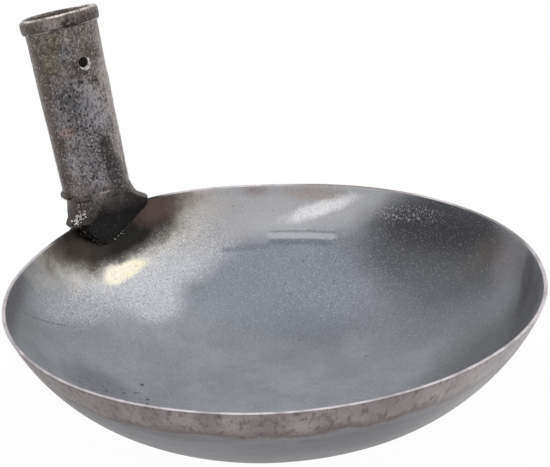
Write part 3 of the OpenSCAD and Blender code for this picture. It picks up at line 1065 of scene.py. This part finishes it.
# ---- Mouth collar ------------------------------------------------------------------
# A ring bent from round-edged bar and shrunk on the mouth, its split closed by a tack.
# Years of use have rubbed its upper edge bright, and a painted highlight lies along it.
collar_r = mouth_r + 1.9 * MM
collar_top = socket_l + 0.8 * MM
collar_s = collar_top - 8.6 * MM
collar_round = 1.3 * MM
collar_top_round = 1.8 * MM
lip_round = 0.9 * MM
tack_turn = math.pi - math.radians(24)
split_w = 1.0 * MM
split_depth = 0.9 * MM
mouth_tilt = 0.068  # rise of the mouth, over the bowl, for each metre across
COLLAR_DENTS = ((0.3 * MM, 90), (0.12 * MM, 300))
top_wave, top_waves = 0.25 * MM, 70
COLLAR_AROUND = 360


def rounded(centre_r, centre_s, radius, start, end, steps):
    """Places on an arc of the collar's section, in degrees from outwards."""
    turns = [math.radians(start + (end - start) * i / steps) for i in range(steps + 1)]
    return [(centre_r + radius * math.cos(t), centre_s + radius * math.sin(t)) for t in turns]


bore_at_mouth = mouth_r - socket_wall
section = [(tube_r(collar_s) - 0.05 * MM, collar_s)]
section += rounded(collar_r - collar_round, collar_s + collar_round, collar_round, -90, 0, 6)
section += [(collar_r + 0.2 * MM, (collar_s + collar_top) / 2)]
section += rounded(collar_r - collar_top_round, collar_top - collar_top_round, collar_top_round, 0, 90, 8)
section += [((collar_r + bore_at_mouth) / 2, collar_top + 0.1 * MM)]
section += rounded(bore_at_mouth + lip_round, collar_top - lip_round, lip_round, 90, 180, 5)
section += [(bore_at_mouth, socket_l - 0.2 * MM), (tube_r(socket_l) - 0.05 * MM, socket_l - 0.2 * MM)]


def collar_skin(place):
    """The ring with its dents, and with a fine groove where its two ends meet."""
    turn = math.atan2(place.y, place.x)
    outwards = Vector((place.x, place.y, 0)).normalized()
    outer = max(0.0, (math.hypot(place.x, place.y) - mouth_r) / (collar_r - mouth_r))
    off_split = abs(turn - tack_turn) * collar_r
    groove = split_depth * swell(off_split, 0, split_w) * outer
    dents = waves_of(place, COLLAR_DENTS)
    top = max(0.0, (place.z - socket_l) / (collar_top - socket_l))
    tipped = top_wave * top * noise.noise(place * top_waves) - mouth_tilt * place.x
    return to_part @ (place + outwards * (dents * outer - groove) + Vector((0, 0, tipped)))


places, faces = revolved(section + section[:1], collar_skin, COLLAR_AROUND)
collar = new_object("mouth_collar_ring", new_mesh("mouth_collar_ring", places, faces))
weld = collar.modifiers.new("weld", "WELD")
weld.merge_threshold = 0.001 * MM
as_mesh(collar)

# marks on the collar, as on the handle
COLLAR_MARKS = [
    # painted light on the ring's front
    (132, 131, 7, 14, 0, 0.5, 0.8, 120, (150, 140, 138), 0.8),
    # painted shade on the ring's two sides, in the next two rows
    (194, 129.5, 9, 36, 0, 0.4, 0.8, 120, (64, 55, 52), 0.9),
    (84, 129.5, 9, 28, 0, 0.5, 0.9, 120, (74, 64, 60), 0.85),
    (157, 130, 5.5, 7, 0, 0.3, 0.9, 250, (46, 40, 38), 0.9),
    (156.5, 130.4, 2.0, 2.6, 0, 0.4, 0.8, 300, (140, 132, 130), 0.9),
]
collar_steel, tree, shader, place = new_steel("collar_steel", 0.6, 0.42)
flat, up_handle = handle_place(tree, place)
stain = use_group(tree, cloud_group, Position=place, Scale=90.0, Low=0.35, High=0.65)["Mask"]
colour = mixed(tree, stain, paint(86, 76, 72), paint(120, 111, 107))
colour = handle_marks(tree, flat, place, colour, COLLAR_MARKS)
# its upper edge: rubbed bright, with a painted highlight laid over the wear
worn_and_highlight = use_group(tree, cloud_group, Position=place, Scale=170.0, Low=0.3, High=0.62)["Mask"]
around = add_node(tree, "ShaderNodeSeparateXYZ", {0: flat}).outputs[0]
turned = math_of(tree, "MULTIPLY_ADD", around, 1 / round_r, face_turn)
tip = math_of(tree, "MULTIPLY", math_of(tree, "COSINE", turned), mouth_tilt * collar_r)
level = math_of(tree, "ADD", up_handle, tip)
worn_and_highlight = math_of(tree, "MULTIPLY", worn_and_highlight, eased(tree, level, collar_top - 1.7 * MM, collar_top - 0.3 * MM))
colour = laid_over(tree, colour, worn_and_highlight, 0.95, paint(232, 222, 218))
grain = use_group(tree, fleck_group, Position=place, Scale=700.0)
colour = laid_over(tree, colour, grain["Light"], 0.5, paint(196, 188, 184))
colour = laid_over(tree, colour, grain["Dark"], 0.8, paint(36, 31, 30))
tree.links.new(colour, shader.inputs["Base Color"])
bumped(tree, shader, math_of(tree, "MULTIPLY", grain["Dark"], -1.0), 0.15 * MM)
collar.data.materials.append(collar_steel)
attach(collar, "root")
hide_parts("mouth_collar")

# ---- Welds -------------------------------------------------------------------------
# Beads laid by hand with a rod: round the foot on both faces of the bowl, out along the
# rim, round the joint of tube and foot, and a fine one under the collar.
tree, given, given_back = new_group("Weld run", [
    ("Path", "Geometry", None), ("Radius", "Float", 2.0), ("Step", "Float", 0.4),
    ("Pitch", "Float", 2.0), ("Ripple", "Float", 0.2), ("Lump", "Float", 0.5),
    ("Lump scale", "Float", 200.0), ("Start size", "Float", 0.3), ("End size", "Float", 0.3),
    ("Ramp", "Float", 0.1), ("Sides", "Int", 20), ("Finish", "Material", None)],
    [("Weld", "Geometry")], kind="Geometry")
weld_tree = tree
route = add_node(tree, "GeometryNodeMeshToCurve", {"Mesh": given["Path"]})
fine = add_node(tree, "GeometryNodeResampleCurve",
                {"Curve": route.outputs[0], "Length": given["Step"]}, mode="LENGTH")
spot = add_node(tree, "GeometryNodeSplineParameter")
kept = add_node(tree, "GeometryNodeCaptureAttribute")
kept.capture_items.new("FLOAT", "Length")
tree.links.new(fine.outputs[0], kept.inputs["Geometry"])
tree.links.new(spot.outputs["Length"], kept.inputs["Length"])
from_start = spot.outputs["Factor"]
from_end = rest_of(tree, from_start)
halves = [add_node(tree, "ShaderNodeMapRange",
                   {"Value": share, "From Max": given["Ramp"], "To Min": size},
                   interpolation_type="SMOOTHERSTEP").outputs[0]
          for share, size in ((from_start, given["Start size"]), (from_end, given["End size"]))]
girth = math_of(tree, "MINIMUM", *halves)
ring = add_node(tree, "GeometryNodeCurvePrimitiveCircle",
                {"Resolution": given["Sides"], "Radius": given["Radius"]})
bead = add_node(tree, "GeometryNodeCurveToMesh",
                {"Curve": kept.outputs["Geometry"], "Profile Curve": ring.outputs[0],
                 "Scale": girth, "Fill Caps": True})
place = add_node(tree, "GeometryNodeInputPosition").outputs[0]
lumps = add_node(tree, "ShaderNodeTexNoise",
                 {"Vector": place, "Scale": given["Lump scale"], "Detail": 3.0}).outputs["Fac"]
lump = math_of(tree, "MULTIPLY", math_of(tree, "SUBTRACT", lumps, 0.5), given["Lump"])
waves = math_of(tree, "DIVIDE", kept.outputs["Length"], given["Pitch"])
phase = math_of(tree, "FRACT", math_of(tree, "ADD", waves, lumps))
out = math_of(tree, "SUBTRACT", lump, math_of(tree, "MULTIPLY", phase, given["Ripple"]))
facing = add_node(tree, "GeometryNodeInputNormal").outputs[0]
push = add_node(tree, "ShaderNodeVectorMath", {0: facing, "Scale": out}, operation="SCALE")
laid = add_node(tree, "GeometryNodeSetPosition",
                {"Geometry": bead.outputs[0], "Offset": push.outputs[0]})


def finish_tree(tree, geometry, finish, end):
    """Makes a tree's instances real and gives them their material, at its end."""
    real = add_node(tree, "GeometryNodeRealizeInstances", {0: geometry})
    finished = add_node(tree, "GeometryNodeSetMaterial",
                        {"Geometry": real.outputs[0], "Material": finish})
    tree.links.new(finished.outputs[0], end)


finish_tree(tree, laid.outputs[0], given["Finish"], given_back["Weld"])


def grown(name, mesh, tree, **values):
    """What a tree makes of a mesh, as a plain object."""
    made = new_object(name, mesh)
    modifier = made.modifiers.new(tree.name, "NODES")
    modifier.node_group = tree
    for item in tree.interface.items_tree:
        if item.in_out == "INPUT" and item.name in values:
            modifier[item.identifier] = values[item.name]
    return as_mesh(made)


def weld_run(name, runs, finish, closed=False, **values):
    """A bead along each run of places."""
    places = [p for run in runs for p in run]
    edges = []
    start = 0
    for run in runs:
        edges += [(start + i, start + i + 1) for i in range(len(run) - 1)]
        if closed:
            edges.append((start + len(run) - 1, start))
        start += len(run)
    path = new_mesh(name, places, [], edges)
    return grown(name, path, weld_tree, Finish=finish, **values)


dark_weld = forge_scale("dark_weld_metal", paint(34, 32, 31), paint(70, 63, 56),
                        paint(150, 146, 142), 0.6, 0.42)
brown_weld = forge_scale("brown_weld_metal", paint(58, 48, 43), paint(96, 86, 79),
                         paint(160, 152, 147), 0.6, 0.42)
black_weld = forge_scale("scorched_weld_metal", paint(24, 23, 22), paint(52, 48, 43),
                         paint(176, 174, 170), 0.6, 0.4)


def on_wall(y, height, inside):
    """Place on one face of the bowl, by its distance aside and its height."""
    face_r = flat_r + math.sqrt((side_radius - inside) ** 2 - (side_radius - height) ** 2)
    guess = Vector((math.sqrt(face_r ** 2 - y ** 2), y, height))
    return bowl_tree.find_nearest(worked(guess))[0]


# the outer bead follows the lobe's round edge from rim to rim
OUTER_HALF = 30
weld_round = lobe_round + weld_out
outer_path = []
for i in range(2 * OUTER_HALF + 1):
    swing = math.acos((lobe_low + lobe_round - rim_z) / weld_round) * (i / OUTER_HALF - 1)
    outer_path.append(on_wall(weld_round * math.sin(swing),
                              lobe_low + lobe_round - weld_round * math.cos(swing), 0))
# the inner one runs lower, off centre, and stands a little proud of the wall
BEAD_STEPS = 80
inner_middle, inner_half = -4, 29.3  # mm aside from the handle's middle
inner_proud = 0.5 * MM
inner_path = []
for i in range(BEAD_STEPS + 1):
    y = (inner_middle - inner_half * math.cos(math.pi * i / BEAD_STEPS)) * MM
    wall = on_wall(y, rim_z - inner_weld_drop(y), sheet_t)
    inner_path.append(wall + bowl_tree.find_nearest(wall)[1] * inner_proud)

inner_weld = weld_run("inner_weld_bead", [inner_path], black_weld, Radius=1.1 * MM, Step=0.3 * MM,
                      Pitch=2.4 * MM, Ripple=0.4 * MM, Lump=1.5 * MM)
outer_weld = weld_run("outer_weld_bead", [outer_path], dark_weld, Radius=2.1 * MM, Step=0.4 * MM,
                      Pitch=2.4 * MM, Ripple=0.5 * MM, Lump=1.4 * MM)

# the tails start under the foot's edge on each hand and thin out along the rim
TAIL_STEPS = 20
tail_sunk = 0.6 * MM
tail_starts = ((-1, 25 * MM / rim_r), (1, 21 * MM / rim_r))
tail_end = (straddle_w + 10 * MM) / rim_r
tails = []
for hand, tail_start in tail_starts:
    run = []
    for i in range(TAIL_STEPS + 1):
        turn = hand * (tail_start + (tail_end - tail_start) * i / TAIL_STEPS)
        guess = polar(1, turn, 0) * (rim_r - sheet_t / 2) + Vector((0, 0, rim_z))
        run.append(bowl_tree.find_nearest(worked(guess))[0] - Vector((0, 0, tail_sunk)))
    tails.append(run)
rim_tails = weld_run("rim_weld_run_out", tails, dark_weld, Radius=2.2 * MM, Step=0.4 * MM, Pitch=2.4 * MM,
                     Ripple=0.3 * MM, Lump=0.8 * MM, **{"Start size": 1.0, "End size": 0.15}, Ramp=1.0)

joint_middle = math.radians(14)
joint_sweep = math.radians(170)
joint_r = foot_r - 0.7 * MM
joint_s = foot_top + 2.6 * MM
joint_path = []
for i in range(BEAD_STEPS + 1):
    turn = joint_middle + joint_sweep * (i / BEAD_STEPS - 0.5)
    joint_path.append(to_part @ polar(joint_r, turn, joint_s))
joint_bead = weld_run("joint_bead_weld", [joint_path], brown_weld, Radius=2.5 * MM,
                      Step=0.4 * MM, Pitch=3.4 * MM, Ripple=0.5 * MM, Lump=2.6 * MM)

fine_r = tube_r(collar_s) + 0.9 * MM
FINE_STEPS = 160
fine_path = []
for i in range(FINE_STEPS):
    place = polar(fine_r, 2 * math.pi * i / FINE_STEPS, collar_s - 0.1 * MM)
    fine_path.append(to_part @ (place - Vector((0, 0, mouth_tilt * place.x))))
# its light colours paint a highlight along the fine bead, where the collar shades it
fine_steel = forge_scale("fine_weld_metal", paint(186, 178, 172), paint(52, 45, 42),
                         paint(240, 234, 228), 0.5, 0.35)
collar_weld = weld_run("collar_weld_line", [fine_path], fine_steel, closed=True, Radius=0.5 * MM,
                       Step=0.35 * MM, Pitch=1.6 * MM, Ripple=0.15 * MM, Lump=0.5 * MM, Sides=10)


def faces_of(thing):
    """What rays are cast at: the faces of an object as finished."""
    return BVHTree.FromPolygons([v.co for v in thing.data.vertices],
                                [tuple(f.vertices) for f in thing.data.polygons])


tack_place, tack_normal = place_on(faces_of(collar), *POINTS["collar_tack"])
tack_path = [tack_place - tack_normal * 0.2 * MM + to_part.to_3x3() @ Vector((0, 0, z * MM))
             for z in (-1.3, 0, 1.3)]
collar_tack = weld_run("collar_tack_weld", [tack_path], dark_weld, Radius=1.9 * MM,
                       Step=0.3 * MM, Pitch=2.0 * MM, Ripple=0.2 * MM, Lump=1.0 * MM, Ramp=0.5)

for piece, node, finish in (
        (inner_weld, "inner_weld", "scorched_weld"), (outer_weld, "outer_weld", "dark_weld"),
        (rim_tails, "rim_weld_tails", "dark_weld"), (joint_bead, "joint_bead", "dark_weld"),
        (collar_weld, "collar_weld", "bright_weld"), (collar_tack, "collar_tack", "dark_weld")):
    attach(piece, "root")
    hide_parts(node)

# ---- Weld spatter ------------------------------------------------------------------
# Drops of metal that the arc threw off. They froze where they landed, on the foot's inner
# lobe and on the weld round it.
tree, given, given_back = new_group("Weld spatter", [
    ("Carrier", "Geometry", None), ("Centre", "Vector", None), ("Spread", "Vector", (0.02, 0.02, 0.02)),
    ("Density", "Float", 1e5), ("Smallest", "Float", 0.0003), ("Largest", "Float", 0.001),
    ("Seed", "Int", 1), ("Finish", "Material", None)], [("Drops", "Geometry")], kind="Geometry")
drop_tree = tree
place = add_node(tree, "GeometryNodeInputPosition").outputs[0]
away = vector_of(tree, "SUBTRACT", place, given["Centre"])[0]
away = vector_of(tree, "DIVIDE", away, given["Spread"])[0]
away = vector_of(tree, "LENGTH", away)["Value"]
near = math_of(tree, "SUBTRACT", 1.0, away, clamp=True)
landed = add_node(tree, "GeometryNodeDistributePointsOnFaces",
                  {"Mesh": given["Carrier"], "Seed": given["Seed"],
                   "Density": math_of(tree, "MULTIPLY", near, given["Density"])})
chance = add_node(tree, "FunctionNodeRandomValue", {"Seed": given["Seed"]},
                  data_type="FLOAT").outputs[1]
size = add_node(tree, "ShaderNodeMapRange",
                {"Value": math_of(tree, "POWER", chance, 2.0), "To Min": given["Smallest"],
                 "To Max": given["Largest"]}).outputs[0]
flat_drop = add_node(tree, "ShaderNodeCombineXYZ",
                     {"X": size, "Y": size, "Z": math_of(tree, "MULTIPLY", size, 0.75)})
ball = add_node(tree, "GeometryNodeMeshIcoSphere", {"Radius": 1.0, "Subdivisions": 2})
put = add_node(tree, "GeometryNodeInstanceOnPoints",
               {"Points": landed.outputs["Points"], "Instance": ball.outputs["Mesh"],
                "Rotation": landed.outputs["Rotation"], "Scale": flat_drop.outputs[0]})
finish_tree(tree, put.outputs[0], given["Finish"], given_back["Drops"])

foot_tree = faces_of(foot)
spatter_place = place_on(foot_tree, *POINTS["spatter"])[0]
bright_steel = forge_scale("bright_spatter", paint(190, 188, 184), paint(120, 112, 104),
                           paint(232, 230, 226), 0.85, 0.25)
spatter = grown("weld_spatter_drops", foot.data.copy(), drop_tree, Centre=spatter_place,
                Density=1.0e6, Spread=Vector((6, 6, 20)) * MM, Smallest=0.45 * MM,
                Largest=1.2 * MM, Seed=4, Finish=bright_steel)
weld_place = place_on(foot_tree, *POINTS["inner_weld"])[0]
weld_drops = grown("weld_bead_drops", inner_weld.data.copy(), drop_tree, Centre=weld_place,
                   Density=1.6e5, Spread=Vector((30, 30, 30)) * MM, Smallest=0.2 * MM,
                   Largest=0.8 * MM, Seed=7, Finish=bright_steel)
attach(spatter, "root")
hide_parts("weld_spatter")
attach(weld_drops, "root")

# ---- What shows, and finish --------------------------------------------------------
# Works out where some pieces show, by their vertices in view, and sets the colour view.
pieces = [bowl, foot, tube, collar, inner_weld, outer_weld, rim_tails, joint_bead, collar_weld, collar_tack,
          spatter, weld_drops]
corners = []
sides = []
for piece in pieces:
    first = len(corners)
    corners += [v.co for v in piece.data.vertices]
    sides += [[first + i for i in f.vertices] for f in piece.data.polygons]
whole_tree = BVHTree.FromPolygons(corners, sides)
hidden_by = 0.5 * MM


def in_view(place):
    """Whether nothing stands between the camera and a place."""
    ray = place - eye
    reach = whole_tree.ray_cast(eye, ray.normalized())[3]
    return reach is not None and reach > ray.length - hidden_by


def middle_shown(piece):
    """Middle of what shows of a piece, by its vertices in view."""
    seen = [seen_at(v.co) for v in piece.data.vertices if in_view(v.co)]
    return Vector([(min(p[k] for p in seen) + max(p[k] for p in seen)) / 2 for k in (0, 1)])


for name, piece in (("collar_tack", collar_tack), ("joint_bead", joint_bead), ("spatter", spatter)):
    middle_shown(piece)
weld_shown = [seen_at(v.co) for v in inner_weld.data.vertices if in_view(v.co)]
bpy.context.scene.view_settings.view_transform = "Standard"
